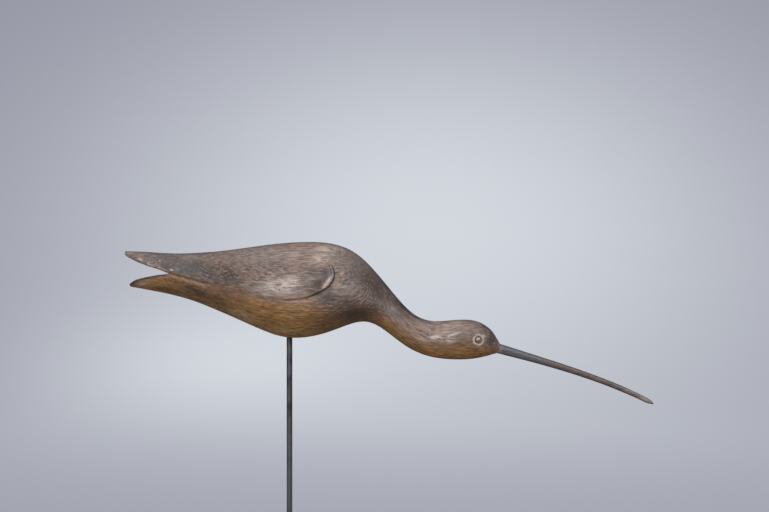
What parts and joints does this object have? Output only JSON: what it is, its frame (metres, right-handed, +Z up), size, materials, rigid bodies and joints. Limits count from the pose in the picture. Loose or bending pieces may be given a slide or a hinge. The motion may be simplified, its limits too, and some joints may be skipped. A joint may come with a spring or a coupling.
{
  "type": "shorebird decoy on a stand",
  "caption": "Carved wooden shorebird decoy in a running pose with a long downcurved bill, relief wings and a split tail, standing on a steel stick in a low rectangular base.",
  "frame": {"origin": "centre of the base's underside, on the stick's axis", "axes": "+X the way the bird faces, along its length; +Y the bird's left side; +Z up"},
  "size_m": [0.5901, 0.11, 0.3469],
  "materials": {
    "carved_bird": "worn grey-brown paint over ochre wood, low sheen",
    "bill": "worn dark slate paint, browner towards the tip",
    "eye": "dark gloss",
    "stick": "dark satin",
    "base": "dark satin"
  },
  "bodies": {
    "root": {"carved_bird": "carved_bird", "bill": "bill", "eye_left": "eye", "eye_right": "eye", "stick": "stick", "base": "base"}
  },
  "joints": []
}
